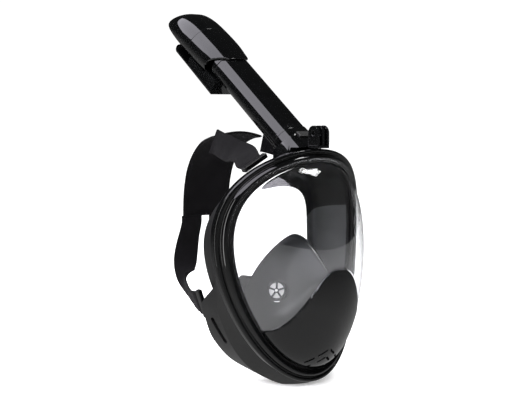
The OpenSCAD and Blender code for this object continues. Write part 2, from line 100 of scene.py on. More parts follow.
class Look(Nodes):
    """A new material, with short ways to set up its shader."""

    def __init__(self, name):
        self.material = bpy.data.materials.new(name)
        super().__init__(self.material)
        self.shader = self.tree.nodes["Principled BSDF"]

    def set(self, **values):
        self.feed_all(self.shader, values)

    def bump(self, height, strength, distance):
        node = self.add("ShaderNodeBump", Strength=strength, Distance=distance, Height=height)
        self.set(Normal=node.outputs[0])

    def edges(self):
        """1 on worn convex edges, 0 elsewhere."""
        node = self.add("ShaderNodeNewGeometry")
        return self.span(node.outputs["Pointiness"], 0.0, 1.0, 0.5, 0.56)


# -------- camera, light and floor

VIEW_AZ = -37.23
VIEW_EL = 4.62
VIEW_ROLL = -0.31
VIEW_FAR = 1.1065
AIM = Vector((-0.0368, -0.0468, 0.0644))
SENSOR = 36.0
LENS = 75.17
FLOOR_Z = -0.121
FLOOR_R = 9
WHITE = (1, 1, 1)
LAVENDER = (0.93, 0.91, 1.0)
# Softboxes: azimuth, elevation, distance, width, height, watts, colour and whether gloss mirrors them
SOFTBOXES = {
    "key_softbox": (-104, 50, 1.2, 2.2, 1.04, 30, LAVENDER, True),
    "side_strip": (-97, 2, 1.2, 0.1, 0.9, 2, WHITE, True),
    "crown_softbox": (53, 66, 1.2, 0.44, 0.5, 10, WHITE, True),
    "rear_softbox": (-145, 18, 1.3, 0.8, 0.8, 9, WHITE, False),
}
SURROUNDINGS = 1.06
MIRRORED_ABOVE = 0.02
MIRRORED_BELOW = 0.6
BELOW_FROM = -0.5


def away(az, el):
    """Unit vector from the object towards a camera at this azimuth and elevation."""
    a, e = math.radians(az), math.radians(el)
    return Vector((math.sin(a) * math.cos(e), -math.cos(a) * math.cos(e), math.sin(e)))


def aimed(obj):
    """Turns a camera or lamp towards AIM."""
    obj.rotation_euler = (AIM - obj.location).to_track_quat("-Z", "Y").to_euler()


def add_camera():
    data = bpy.data.cameras.new("camera")
    data.lens = LENS
    data.sensor_width = SENSOR
    data.clip_start = 0.01
    data.clip_end = 50
    cam = bpy.data.objects.new("camera", data)
    scene.collection.objects.link(cam)
    cam.location = AIM + away(VIEW_AZ, VIEW_EL) * VIEW_FAR
    aimed(cam)
    cam.rotation_euler.rotate_axis("Z", math.radians(VIEW_ROLL))
    scene.camera = cam


def add_light(name, az, el, far, width, height, power, colour, mirrored):
    """A rectangular softbox aimed at the mask."""
    data = bpy.data.lights.new(name, "AREA")
    data.shape = "RECTANGLE"
    data.size = width
    data.size_y = height
    data.energy = power
    data.color = colour
    lamp = bpy.data.objects.new(name, data)
    scene.collection.objects.link(lamp)
    lamp.location = AIM + away(az, el) * far
    lamp.visible_glossy = mirrored
    aimed(lamp)


def add_world():
    """White surroundings that gloss mirrors as a dark studio, brighter towards the pale table below."""
    world = bpy.data.worlds.new("studio")
    n = Nodes(world)
    split = n.add("ShaderNodeSeparateXYZ", Vector=n.add("ShaderNodeTexCoord").outputs["Generated"])
    mirrored = n.span(split.outputs["Z"], MIRRORED_ABOVE, MIRRORED_BELOW, 0.0, BELOW_FROM)
    gloss = n.add("ShaderNodeLightPath").outputs["Is Glossy Ray"]
    strength = n.span(gloss, SURROUNDINGS, mirrored, 0.0, 1.0)
    n.feed_all(n.tree.nodes["Background"], {"Color": (1, 1, 1, 1), "Strength": strength})
    scene.world = world


def add_floor():
    """A round pale floor whose far edge is lost in the pale surroundings. Gloss doesn't mirror it."""
    bm = bmesh.new()
    bmesh.ops.create_circle(bm, cap_ends=True, segments=96, radius=FLOOR_R)
    floor = from_bmesh("floor", bm)
    floor.location.z = FLOOR_Z
    look = Look("pale_floor")
    look.set(Base_Color=(0.97, 0.97, 0.97, 1), Roughness=0.9, Specular_IOR_Level=0.1)
    look.set(Emission_Color=(1, 1, 1, 1), Emission_Strength=0.3)
    floor.data.materials.append(look.material)
    floor.visible_glossy = False


# -------- materials


def grey(value, warm):
    """A near-neutral colour, a little blue where warm is negative."""
    return (value * (1 + warm), value, value * (1 - warm))


def moulded(name, dark, light, warm, rough, rough_more, grain_scale, grain, worn):
    """Black moulded plastic: mottled colour, smudged gloss, fine grain and slightly worn edges."""
    n = Look(name)
    dark, light = grey(dark, warm), grey(light, warm)
    body = n.blend(n.span(n.noise(38, 3), 0, 1), dark, light)
    edge = n.math("MULTIPLY", n.edges(), n.noise(160, 2))
    tint = tuple(c * worn for c in light)
    n.set(Base_Color=n.blend(edge, body, tint))
    n.set(Roughness=n.span(n.noise(22, 4, rough=0.6), rough, rough + rough_more))
    n.set(IOR=1.5)
    n.bump(n.noise(grain_scale, 2), grain, 0.0002)
    return n.material


def silicone(name, dark, light, warm, rough, glow):
    """Soft silicone: faint cloudiness, a dusty matt film and, in thin flaps, a glow below the surface."""
    n = Look(name)
    cloud = n.noise(16, 4, rough=0.6)
    n.set(Base_Color=n.blend(n.span(cloud, 0, 1), grey(dark, warm), grey(light, warm)))
    film = n.math("MULTIPLY", n.math("ADD", n.noise(700, 2), cloud), 0.5)
    n.set(Roughness=n.span(film, rough - 0.015, rough + 0.02))
    n.set(Subsurface_Weight=glow, Subsurface_Scale=0.002, Subsurface_Radius=(1, 1, 1), IOR=1.42)
    n.bump(n.noise(1100, 2), 0.006, 0.00005)
    return n.material


def clear_lens():
    """Clear polycarbonate that lets lamps through, with a trace of haze."""
    n = Look("clear_lens")
    n.set(Roughness=n.span(n.noise(30, 4, rough=0.65), 0.0, 0.02, 0.45, 0.75))
    n.set(Base_Color=(0.97, 0.975, 0.985, 1), Transmission_Weight=1.0, IOR=1.5)
    rays = n.add("ShaderNodeLightPath")
    open_to_lamps = n.math("MAXIMUM", rays.outputs["Is Shadow Ray"], rays.outputs["Is Diffuse Ray"])
    clear = n.add("ShaderNodeBsdfTransparent", Color=(0.95, 0.96, 0.97, 1))
    mix = n.add("ShaderNodeMixShader", Fac=open_to_lamps)
    n.feed(mix.inputs[1], n.shader.outputs[0])
    n.feed(mix.inputs[2], clear.outputs[0])
    n.feed(n.tree.nodes["Material Output"].inputs["Surface"], mix.outputs[0])
    return n.material


def webbing_cloth(pitch, dark, light):
    """Ribbed elastic webbing. The map runs across and along the band in millimetres."""
    n = Look("strap_webbing")
    split = n.add("ShaderNodeSeparateXYZ", Vector=n.add("ShaderNodeUVMap").outputs[0])
    across, along = split.outputs[0], split.outputs[1]
    turn = 2 * math.pi
    rib = n.math("SINE", n.math("MULTIPLY", along, turn / pitch))
    yarn = n.math("SINE", n.math("MULTIPLY", across, turn / (pitch * 0.8)))
    crossing = n.math("MULTIPLY", n.math("MULTIPLY", rib, yarn), 0.4)
    weave = n.math("ADD", n.math("MULTIPLY", rib, 0.6), crossing)
    height = n.math("ADD", n.math("MULTIPLY", weave, 0.5), n.noise(1400, 3))
    patches = n.span(n.noise(45, 3), 0, 1)
    shade = n.math("MULTIPLY", n.math("ADD", n.span(weave, 0, 1, -1, 1), patches), 0.5)
    n.set(Base_Color=n.blend(shade, dark, light), Roughness=0.9)
    n.set(Sheen_Weight=0.02, Sheen_Roughness=0.45, Specular_IOR_Level=0.1)
    n.bump(height, 0.6, 0.0003)
    return n.material


# Plastics: dark and light grey, warmth, roughness, its spread, grain size, grain depth and edge wear
PLASTICS = {
    "gloss_black": (0.0012, 0.002, -0.05, 0.025, 0.035, 45, 0.03, 3),
    "satin_black": (0.0015, 0.003, 0, 0.45, 0.1, 1900, 0.12, 2.2),
    "clip_black": (0.0014, 0.0026, 0, 0.3, 0.12, 1900, 0.12, 2.2),
    "inner_plastic": (0.004, 0.007, -0.04, 0.3, 0.15, 1500, 0.12, 2.5),
}
# Silicones: dark and light grey, warmth, roughness and glow below the surface
SILICONES = {
    "face_silicone": (0.014, 0.021, -0.03, 0.3, 0),
    # The skirt's pale grey is painted light on the inside of its cheeks; the rest of the skirt is black seal
    # rubber.
    "skirt_painted_light": (0.06, 0.085, -0.02, 0.4, 0),
    "seal_rubber": (0.004, 0.008, 0, 0.5, 0),
    "flap_silicone": (0.8, 0.88, 0.02, 0.35, 0.3),
}
MAT = {name: moulded(name, *look) for name, look in PLASTICS.items()}
MAT.update({name: silicone(name, *look) for name, look in SILICONES.items()})
MAT["clear_lens"] = clear_lens()
MAT["strap_webbing"] = webbing_cloth(1.3, (0.0022, 0.002, 0.0025), (0.0052, 0.0047, 0.0056))

# -------- mesh helpers


def grid_faces(rows, cols, loop_rows, loop_cols, start=0):
    """Quads of a grid of points, closed round its rows or columns where asked."""
    i, j = np.meshgrid(
        np.arange(rows if loop_rows else rows - 1),
        np.arange(cols if loop_cols else cols - 1),
        indexing="ij",
    )
    a, b = i * cols + j, i * cols + (j + 1) % cols
    c, d = ((i + 1) % rows) * cols + (j + 1) % cols, ((i + 1) % rows) * cols + j
    return (np.stack([a, b, c, d], -1).reshape(-1, 4) + start).tolist()


def new_object(name, points, faces, uv=None):
    mesh = bpy.data.meshes.new(name)
    mesh.from_pydata((np.asarray(points, float).reshape(-1, 3) * MM).tolist(), [], faces)
    if uv is not None:
        layer = mesh.uv_layers.new(name="UVMap")
        index = np.empty(len(mesh.loops), int)
        mesh.loops.foreach_get("vertex_index", index)
        layer.data.foreach_set("uv", np.asarray(uv, float).reshape(-1, 2)[index].ravel())
    obj = bpy.data.objects.new(name, mesh)
    scene.collection.objects.link(obj)
    face_outwards(obj)
    return obj


def face_outwards(obj):
    bm = bmesh.new()
    bm.from_mesh(obj.data)
    bmesh.ops.recalc_face_normals(bm, faces=bm.faces)
    if bm.calc_volume(signed=True) < 0:
        bmesh.ops.reverse_faces(bm, faces=bm.faces)
    bm.to_mesh(obj.data)
    bm.free()


def from_bmesh(name, bm):
    mesh = bpy.data.meshes.new(name)
    bm.to_mesh(mesh)
    bm.free()
    obj = bpy.data.objects.new(name, mesh)
    scene.collection.objects.link(obj)
    return obj


def settle(obj):
    """Applies the object's modifiers to its mesh."""
    shape = obj.evaluated_get(bpy.context.evaluated_depsgraph_get())
    mesh = bpy.data.meshes.new_from_object(shape)
    obj.modifiers.clear()
    old = obj.data
    obj.data = mesh
    mesh.name = obj.name
    bpy.data.meshes.remove(old)


def joined(obj, others, operation):
    """Cuts others from obj or adds them to it, and removes them."""
    for other in others:
        mod = obj.modifiers.new("solid", "BOOLEAN")
        mod.operation = operation
        mod.solver = "EXACT"
        mod.object = other
        settle(obj)
        mesh = other.data
        bpy.data.objects.remove(other)
        bpy.data.meshes.remove(mesh)


def bevelled(obj, width, segments, angle):
    mod = obj.modifiers.new("edge", "BEVEL")
    mod.width = width * MM
    mod.segments = segments
    mod.limit_method = "ANGLE"
    mod.angle_limit = math.radians(angle)
    mod.use_clamp_overlap = True
    settle(obj)


def piece(obj, look, body, node, sharp=42, weighted=True):
    """Smooth shading, a material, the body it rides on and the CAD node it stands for."""
    obj.name = f"{node}_shown"
    mesh = obj.data
    mesh.name = obj.name
    mesh.materials.clear()
    mesh.materials.append(MAT[look])
    mesh.shade_smooth()
    mesh.set_sharp_from_angle(angle=math.radians(sharp))
    if weighted:
        mod = obj.modifiers.new("normals", "WEIGHTED_NORMAL")
        mod.keep_sharp = True
        settle(obj)
    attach(obj, body)
    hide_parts(node)


def rounded(points, radius, steps):
    """Closed outlines (..., corners, axes) with each corner rounded off, by up to radius."""
    p = np.asarray(points, float)
    ends = []
    for step in (1, -1):
        side = np.roll(p, step, axis=-2) - p
        length = np.linalg.norm(side, axis=-1, keepdims=True)
        ends.append(p + side / length * np.minimum(radius, 0.45 * length))
    before, after = ends
    rows = []
    for u in np.linspace(0, 1, steps + 1):
        rows.append((1 - u) ** 2 * before + 2 * u * (1 - u) * p + u * u * after)
    out = np.stack(rows, axis=-2)
    return out.reshape(*p.shape[:-2], -1, p.shape[-1])


def curve_through(points, steps):
    """Smooth open curve through points (n, axes), with steps points to a span."""
    p = np.asarray(points, float)
    last = len(p) - 1
    out = []
    for i in range(last):
        a, b, c, d = p[max(i - 1, 0)], p[i], p[i + 1], p[min(i + 2, last)]
        square, cube = 2 * a - 5 * b + 4 * c - d, 3 * b - a - 3 * c + d
        for u in np.arange(steps) / steps:
            out.append(0.5 * (2 * b + (c - a) * u + square * u**2 + cube * u**3))
    return np.stack([*out, p[-1]])


def unit(vectors):
    return vectors / np.linalg.norm(vectors, axis=-1, keepdims=True)


# -------- outline of the mask

HALF_W = 90.3
HALF_H = 116.0
BROW = 0.21
ENDS = 0.1
SIDE_SETBACK = 41.0
CHIN_SETBACK = 6.0
DEPTH = 84.0
INSET = 13.2
INNER_W = HALF_W - INSET
INNER_H = HALF_H - INSET
BULGE = 37.0
LENS_WALL = 2.4
GAP = 0.3
COVER_END = 126.0
COVER_PEAK = 1.0
COVER_PROUD = 1.6
COVER_WALL = 2.6
RIM_STEPS = 288


def out_x(t, w=HALF_W):
    """Half width of the egg-shaped outline at turn t from the top, in degrees."""
    t = np.radians(t)
    return w * np.sin(t) * (1 + BROW * np.cos(t) + ENDS * np.cos(t) ** 2)


def out_z(t, h=HALF_H):
    return h * np.cos(np.radians(t))


def base_y(x, z):
    """The curved face that ring, frame and lens follow."""
    return -DEPTH + SIDE_SETBACK * (x / HALF_W) ** 2 + CHIN_SETBACK * ((1 - z / HALF_H) / 2) ** 2


def rim(t, o, d):
    """Points on the ring at turn t from the top, o outwards and d forwards of its edge."""
    t, o, d = np.broadcast_arrays(*(np.asarray(v, float) for v in (t, o, d)))
    tx = out_x(t + 0.1) - out_x(t - 0.1)
    tz = out_z(t + 0.1) - out_z(t - 0.1)
    n = np.hypot(tx, tz)
    x = out_x(t) - tz / n * o
    z = out_z(t) + tx / n * o
    return np.stack([x, base_y(x, z) - d, z], -1)


def edge(t):
    """The outline of lens and chin cover, inside the ring."""
    return out_x(t, INNER_W), out_z(t, INNER_H)


COVER_HALF_W, COVER_END_Z = (float(v) for v in edge(COVER_END))


def swell(x, z):
    c = np.clip(z / INNER_H, -1, 1)
    t = np.degrees(np.arccos(c))
    w = np.maximum(out_x(t, INNER_W), 0.001)
    return BULGE * (np.clip(1 - (x / w) ** 2, 0, 1) * (1 - c * c)) ** 0.58


def front_y(x, z):
    return base_y(x, z) - swell(x, z)


def bell_z(x):
    """Height of the seam between chin cover and lens."""
    u = np.minimum(np.abs(x) / COVER_HALF_W, 1) ** 1.2
    return COVER_END_Z + (COVER_PEAK - COVER_END_Z) * (1 + np.cos(math.pi * u)) / 2


def spread(u):
    """Even steps drawn closer together towards 1 and -1."""
    return np.sin(np.pi / 2 * u)


def smooth(v, a, b):
    u = np.clip((v - a) / (b - a), 0, 1)
    return u * u * (3 - 2 * u)


def from_top(t):
    return np.abs(np.where(t > 180, t - 360, t))


def swept(name, section, steps=RIM_STEPS):
    """Closed band from section(t), which gives outlines (turns, points, 3) at turns t."""
    t = np.arange(steps) * 360.0 / steps
    points = section(t)
    return new_object(name, points, grid_faces(steps, points.shape[1], True, True))


def flat_section(outline, radius, steps):
    """A section of fixed [outwards, forwards] corners, rounded, for swept()."""
    corners = rounded(outline, radius, steps)
    return lambda t: rim(t[:, None], corners[None, :, 0], corners[None, :, 1])


# -------- mask: hard parts

RING_OUTLINE = [
    [1.5, -6], [1.5, 0.2], [0.6, 1.2], [-1.6, 1.2], [-2.4, -0.4], [-3.6, -0.4], [-4.4, 1.8],
    [-5.6, 3.2], [-7.2, 3.5], [-8.6, 2.6], [-9.2, 1], [-11.2, 0.6], [-11.2, -2.4], [-9, -2.4],
    [-9, -6],
]


def make_ring():
    ring = swept("ring", flat_section(RING_OUTLINE, 0.7, 3))
    piece(ring, "gloss_black", "mask", "lens_frame")


def make_gasket():
    gasket = swept("gasket", flat_section([[-10, -2.9], [-15.6, -2.9], [-15.6, -5.4], [-10, -5.4]], 0.9, 4))
    piece(gasket, "seal_rubber", "mask", "lens_gasket")


REAR_FRONT = -6 - GAP
REAR_DEPTH = 5
# The rear frame deepens into its ears, then gets shallow again: growth, and the turns off the top it takes
REAR_GROWTH = [(48, 94, 114), (8, 114, 132), (-36, 144, 180)]
REAR_FLARE = (9, 100, 150)
EAR_SLOT = (30.0, 7.4, 30.0)
EAR_BACK = (2, 10, 33)
EAR_BACK_IN = 2.4


def rear_section(t):
    a = from_top(t)
    e = REAR_DEPTH
    for grown, start, end in REAR_GROWTH:
        e = e + grown * smooth(a, start, end)
    w = REAR_FLARE[0] * smooth(a, *REAR_FLARE[1:])
    o = [np.full_like(t, 1.2), np.full_like(t, -2.4), w - 2.4, 0.7 * w - 3.4, 0.7 * w - 0.8, w + 0.4]
    front = np.full_like(t, REAR_FRONT)
    d = [front, front, front - 0.3 * e, front - e, front - e, front - 0.35 * e]
    corners = rounded(np.stack([np.stack(o, -1), np.stack(d, -1)], -1), 1.1, 4)
    return rim(t[:, None], corners[..., 0], corners[..., 1])


def rounded_box(name, size, radius, segments=4):
    bm = bmesh.new()
    bmesh.ops.create_cube(bm, size=1)
    for v in bm.verts:
        v.co = Vector([at * side for at, side in zip(v.co, size)]) * MM
    edges = bm.edges[:]
    bmesh.ops.bevel(bm, geom=edges, offset=radius * MM, segments=segments, profile=0.5, affect="EDGES")
    return from_bmesh(name, bm)


def moved(obj, matrix):
    """Moves the mesh itself, so that the object stays at the origin. The matrix is in millimetres."""
    m = matrix.copy()
    m.translation = m.translation * MM
    obj.data.transform(m)
    return obj


def turn(x=0, y=0, z=0):
    """OpenSCAD's rotate([x, y, z])."""
    return (
        Matrix.Rotation(math.radians(z), 4, "Z")
        @ Matrix.Rotation(math.radians(y), 4, "Y")
        @ Matrix.Rotation(math.radians(x), 4, "X")
    )


def shift(x=0, y=0, z=0):
    return Matrix.Translation(Vector((x, y, z)))


def at_ear(side):
    return shift(side * 70, -14, -66) @ turn(-25, side * 20, 0)


def make_rear_frame():
    """Shell behind the ring. Its ear slots are closed inside by thin backs, so that they look dark."""
    shell = swept("rear_shell", rear_section)
    slots = [moved(rounded_box("slot", EAR_SLOT, 2.4), at_ear(side)) for side in (-1, 1)]
    joined(shell, slots, "DIFFERENCE")
    backs = []
    for side in (-1, 1):
        back = rounded_box("slot_back", EAR_BACK, 0.6)
        backs.append(moved(back, at_ear(side) @ shift(-side * EAR_BACK_IN)))
    joined(shell, backs, "UNION")
    bevelled(shell, 0.5, 2, 60)
    piece(shell, "satin_black", "mask", "rear_frame", 50)


LENS_COLS = 176
LENS_ROWS = 72
LENS_SPAN = 0.985
SEAM = 0.4


def shell_between(front, back):
    """Points and faces of a closed shell between a front grid and a back grid."""
    rows, cols = front.shape[:2]
    size = rows * cols
    faces = grid_faces(rows, cols, False, False)
    faces += [f[::-1] for f in grid_faces(rows, cols, False, False, size)]
    ring = [(i, 0) for i in range(rows)]
    ring += [(rows - 1, j) for j in range(1, cols)]
    ring += [(i, cols - 1) for i in range(rows - 2, -1, -1)]
    ring += [(0, j) for j in range(cols - 2, 0, -1)]
    ids = [i * cols + j for i, j in ring]
    for k, a in enumerate(ids):
        b = ids[(k + 1) % len(ids)]
        faces.append([a, b, b + size, a + size])
    return np.concatenate([front.reshape(-1, 3), back.reshape(-1, 3)]), faces


def front_layer(name, low, top, v, ahead, behind):
    """Closed shell along the mask's front between two edges of [x, z], v from 0 to 1 between them."""
    x = low[0] + (top[0] - low[0]) * v
    z = low[1] + (top[1] - low[1]) * v
    y = front_y(x, z)
    return new_object(name, *shell_between(*(np.stack([x, y + d, z], -1) for d in (-ahead, behind))))


def make_lens():
    s = LENS_SPAN * spread(np.linspace(-1, 1, LENS_COLS + 1))[:, None]
    v = spread(np.linspace(0, 1, LENS_ROWS + 1))[None, :]
    low_x = s * COVER_HALF_W
    low = (low_x, bell_z(low_x) + SEAM)
    lens = front_layer("lens", low, edge(s * COVER_END), v, 0, LENS_WALL)
    bevelled(lens, 0.5, 3, 50)
    piece(lens, "clear_lens", "mask", "lens", 60, weighted=False)


COVER_SPAN = 0.965
VENT_SLOPE = 34.0
VENT_TOP = -80.0
VENT_W = 2.2
VENT_L = 11
VENT_OUT = 7
VENT_PITCH = 13
VENT_DROP = 9


def vent_cutter(side, row, k):
    """Cutter for vent k, counted outwards, of a row. Outer and lower vents are shorter."""
    out = VENT_OUT + VENT_PITCH * k - 2 * row
    box = rounded_box("vent", (VENT_W, VENT_L - 2 * (row + k), 90), VENT_W * 0.49, 5)
    slope = math.radians(VENT_SLOPE)
    place = shift(side * out * math.cos(slope), 0, VENT_TOP - VENT_DROP * row - out * math.sin(slope))
    return moved(box, place @ turn(90, side * (VENT_SLOPE - 90), 0) @ shift(0, 0, 105))


def make_chin_cover():
    s = COVER_SPAN * spread(np.linspace(-1, 1, 161))[:, None]
    v = 1 - spread(1 - np.linspace(0, 1, 73))[None, :]
    low = edge(180 - s * (180 - COVER_END))
    top_x = s * COVER_HALF_W
    top = (top_x, bell_z(top_x) - SEAM)
    cover = front_layer("chin_cover", low, top, v, COVER_PROUD, COVER_WALL - COVER_PROUD)
    bevelled(cover, 0.8, 4, 50)
    cutters = [vent_cutter(side, row, k) for side in (-1, 1) for row in (0, 1) for k in (0, 1)]
    joined(cover, cutters, "DIFFERENCE")
    piece(cover, "gloss_black", "mask", "chin_cover", 40)


# -------- mask: soft parts

# The edge that seals on the face is widest above its middle and curls forwards at brow and chin
SEAL_HALF_W = 76
SEAL_EGG = 0.16
SEAL_Y = 9
SEAL_Z = 2
SEAL_CURL = 35
SEAL_BACKMOST = 0.2
SEAL_UP = 94
SEAL_DOWN = 102
SKIRT_WALL = 2.0
SKIRT_SWELL = 1.5
LIP_IN = 0.8


def seal(t, k=1.0, back=0.0):
    """Points of the sealing edge at turn t, drawn in by share k and set back."""
    t = np.radians(t)
    c = np.cos(t)
    end = (c - SEAL_BACKMOST) / np.where(c > SEAL_BACKMOST, 1 - SEAL_BACKMOST, 1 + SEAL_BACKMOST)
    x = k * SEAL_HALF_W * np.sin(t) * (1 + SEAL_EGG * c)
    z = SEAL_Z + k * np.where(c > 0, SEAL_UP, SEAL_DOWN) * c
    return np.stack([x, SEAL_Y - SEAL_CURL * end**2 + back, z], -1)


def skirt_section(t):
    """Outlines from the frame back to the face, round the turned-in lip and forwards again inside."""
    r = np.radians(t)
    out = np.stack([np.sin(r), 0 * r, np.cos(r)], -1)
    a = rim(t, -10.5, -6 - GAP)
    b = rim(t, -13.5, -12)
    c = seal(t)
    m = (b + c) / 2 + SKIRT_SWELL * out
    wall = -SKIRT_WALL * out
    lift = np.array([0, -2.5, 0])
    outside = [a, b, m, c, seal(t, LIP_IN, -3)]
    inside = [seal(t, LIP_IN, -5), c + lift + 1.5 * wall, m + wall, b + wall, a + 1.6 * wall]
    return rounded(np.stack(outside + inside, 1), 9.0, 6)


SKIRT_STEPS = 240
# Painted light: between these turns from the top, and within this share of its section, the skirt's inside
# is pale where light falls on the cheeks.
LIT_PATCH_FROM = 58
LIT_PATCH_TO = 150
LIT_PATCH_SHARE = (0.36, 0.86)


def make_skirt():
    """Silicone skirt, black, with painted light: pale silicone on the inside of its cheeks stands in for the
    light that falls there.
    """
    skirt = swept("face_skirt", skirt_section, SKIRT_STEPS)
    piece(skirt, "skirt_painted_light", "mask", "face_skirt", 60, weighted=False)
    skirt.data.materials.append(MAT["seal_rubber"])
    in_section = len(skirt.data.polygons) // SKIRT_STEPS
    for face in skirt.data.polygons:
        turned, place = divmod(face.index, in_section)
        # Pale painted-light silicone inside the cheeks, black rubber elsewhere.
        in_lit_cheeks = LIT_PATCH_FROM < from_top(turned * 360 / SKIRT_STEPS) < LIT_PATCH_TO
        inside = LIT_PATCH_SHARE[0] < place / in_section < LIT_PATCH_SHARE[1]
        face.material_index = int(not (in_lit_cheeks and inside))


NOSE_Y = -103.0
NOSE_Z = -6.0
POCKET_HALF_W = 44
POCKET_HALF_H = 58
POCKET_Y = -24
POCKET_Z = -28
POCKET_NARROWS = 0.42
POCKET_WALL = 2.0
# Place, yaw and tilt of each valve
VALVES = {
    "right": ((-30.5, -58.0, -24.0), -48.0, 12.0),
    "left": ((30.5, -58.0, -24.0), 48.0, 12.0),
    "drain": ((0.0, -70.0, -68.0), 180.0, 48.0),
}
SEAT_R = 11.0
FLAP_R = 9.4
SEAT_T = 3.0
SPOKES = 5
DISC_STEPS = 96
POCKET_STEPS = 192


def at_valve(valve):
    place, yaw, tilt = VALVES[valve]
    return shift(*place) @ turn(z=yaw) @ turn(90 - tilt)


def pocket(t, v, inset):
    """Ring of the nose and mouth pocket, v from 0 at the nose to 1 at its open rear edge."""
    r = np.radians(t)
    end_x = POCKET_HALF_W * np.sin(r) * (1 - POCKET_NARROWS * np.cos(r))
    end_y = POCKET_Y - 24 * np.cos(r) ** 2
    end_z = POCKET_Z + POCKET_HALF_H * np.cos(r)
    x = end_x * v**0.8 * (1 - inset / 40)
    y = NOSE_Y + (end_y - NOSE_Y) * v + inset * (1 - v)
    z = NOSE_Z + (end_z - NOSE_Z) * spread(v) * (1 - inset / 50)
    return np.stack([x, y, z], -1)


def lathe(name, outline, radius, steps):
    """Body of revolution about Z from a closed outline of [radius, height]."""
    o = rounded(outline, radius, 3)
    a = (np.arange(steps) * 2 * math.pi / steps)[:, None]
    r, z = o[None, :, 0], o[None, :, 1]
    points = np.stack([r * np.cos(a), r * np.sin(a), z + 0 * a], -1)
    return new_object(name, points, grid_faces(steps, len(o), True, True))


def disc(name, outline):
    """Body of revolution from an open outline of [radius, height] that starts and ends on the axis."""
    steps = DISC_STEPS
    o = np.asarray(outline, float)
    a = np.arange(steps) * 2 * math.pi / steps
    ring = o[1:-1]
    r, z = ring[:, None, 0], ring[:, None, 1]
    points = np.stack([r * np.cos(a), r * np.sin(a), z + 0 * a], -1).reshape(-1, 3)
    first, last = len(points), len(points) + 1
    points = np.concatenate([points, [[0, 0, o[0, 1]], [0, 0, o[-1, 1]]]])
    faces = grid_faces(len(ring), steps, False, True)
    tail = (len(ring) - 1) * steps
    for j in range(steps):
        k = (j + 1) % steps
        faces.append([first, j, k])
        faces.append([last, tail + k, tail + j])
    return new_object(name, points, faces)


def make_pocket():
    t = np.arange(POCKET_STEPS) * 360.0 / POCKET_STEPS
    outer = np.concatenate([[0.04], np.linspace(0.1, 1, 46)])
    rows = [(v, 0.0) for v in outer] + [(1.002, POCKET_WALL / 2)]
    rows += [(v, POCKET_WALL) for v in outer[::-1]]
    points = np.stack([pocket(t, v, inset) for v, inset in rows])
    faces = grid_faces(len(rows), len(t), False, True)
    last = (len(rows) - 1) * len(t)
    faces.append(list(range(len(t))))
    faces.append([last + j for j in range(len(t) - 1, -1, -1)])
    shell = new_object("nose_mouth_pocket", points, faces)
    r = SEAT_R + GAP
    hole = [[0, -15], [r, -15], [r, 15], [0, 15]]
    holes = [moved(disc("hole", hole), at_valve(valve)) for valve in VALVES]
    joined(shell, holes, "DIFFERENCE")
    piece(shell, "face_silicone", "mask", "orinasal_pocket", 50, weighted=False)


def make_seat(valve, node):
    inner = FLAP_R - 1.6
    outline = [
        [inner, 0], [SEAT_R, 0], [SEAT_R, SEAT_T], [SEAT_R - 0.8, SEAT_T], [SEAT_R - 0.8, SEAT_T + 1],
        [inner + 0.8, SEAT_T + 1], [inner + 0.8, SEAT_T], [inner, SEAT_T],
    ]
    wheel = lathe(node, outline, 0.3, 96)
    parts = [lathe("hub", [[1.5, 0], [2.4, 0], [2.4, SEAT_T], [1.5, SEAT_T]], 0.25, 48)]
    start = 1.9
    length = inner + 0.5 - start
    for i in range(SPOKES):
        spoke = rounded_box("spoke", (length, 1.6, SEAT_T - 0.2), 0.3, 3)
        moved(spoke, turn(z=90 + 360 / SPOKES * i) @ shift(start + length / 2, 0, SEAT_T / 2))
        parts.append(spoke)
    joined(wheel, parts, "UNION")
    moved(wheel, at_valve(valve))
    piece(wheel, "inner_plastic", "mask", node, 35)


def make_flap(valve, node):
    """Thin flap below its seat, with a stem and a knob that hold it in the hub."""
    low = -GAP - 0.9
    high = -GAP
    tip = SEAT_T + 1.2
    outline = [
        [0, low - 0.25], [1.8, low - 0.2], [2.6, low], [8.3, low + 0.25], [9.2, low + 0.45],
        [FLAP_R, low + 0.6], [9.3, high - 0.1], [8.8, high], [2.0, high], [1.35, high + 0.15],
        [1.2, high + 0.5], [1.2, SEAT_T + 0.1], [1.42, SEAT_T + 0.3], [1.42, tip - 0.6],
        [1.1, tip - 0.15], [0.6, tip], [0, tip],
    ]
    flap = moved(disc(node, outline), at_valve(valve))
    piece(flap, "flap_silicone", f"flap_{valve}", node, 50, weighted=False)


# -------- snorkel, in its own frame

SNORKEL_AT = (0, -46.7, 123.2)
SNORKEL_LEAN = -54
ON_SNORKEL = shift(*SNORKEL_AT) @ turn(SNORKEL_LEAN)
TUBE_W = 40.6
TUBE_D = 30.4
TUBE_WALL = 2.0
BORE_W = TUBE_W - 4.6
BORE_D = TUBE_D - 4.6
PLUG_IN = 12.0
COLLAR_AT = 3.3
COLLAR_L = 4.0
HEAD_START = 134.0
CAP_START = HEAD_START - 7.5
CAP_L = 121.5
CAP_WALL = 2.2
CAP_SPLIT = CAP_START + 57.5
HOOD_IN = TUBE_D / 2 + 2.1
HOOD_T = 13.3
HOOD_W = 41.0
HOOD_LOW = CAP_START + 55.5
HOOD_WALL = 1.8
HOOD_SHELL = 3.4
HOOD_TIP = CAP_START + 96
CHAMBER_W = 34.4
ARC = 48
FLANK = 6


def oval(w, d):
    """Points round an oval with straight flanks and half-round sides, (count, 2)."""
    r, h = d / 2, (w - d) / 2
    a = np.radians(np.linspace(-90, 90, ARC))
    right = np.stack([h + r * np.cos(a), r * np.sin(a)], -1)
    flank = np.linspace(h, -h, FLANK + 2)[1:-1]
    top = np.stack([flank, r + 0 * flank], -1)
    left = np.stack([-h - r * np.cos(a), -r * np.sin(a)], -1)
    low = np.stack([-flank, -r + 0 * flank], -1)
    return np.concatenate([right, top, left, low])


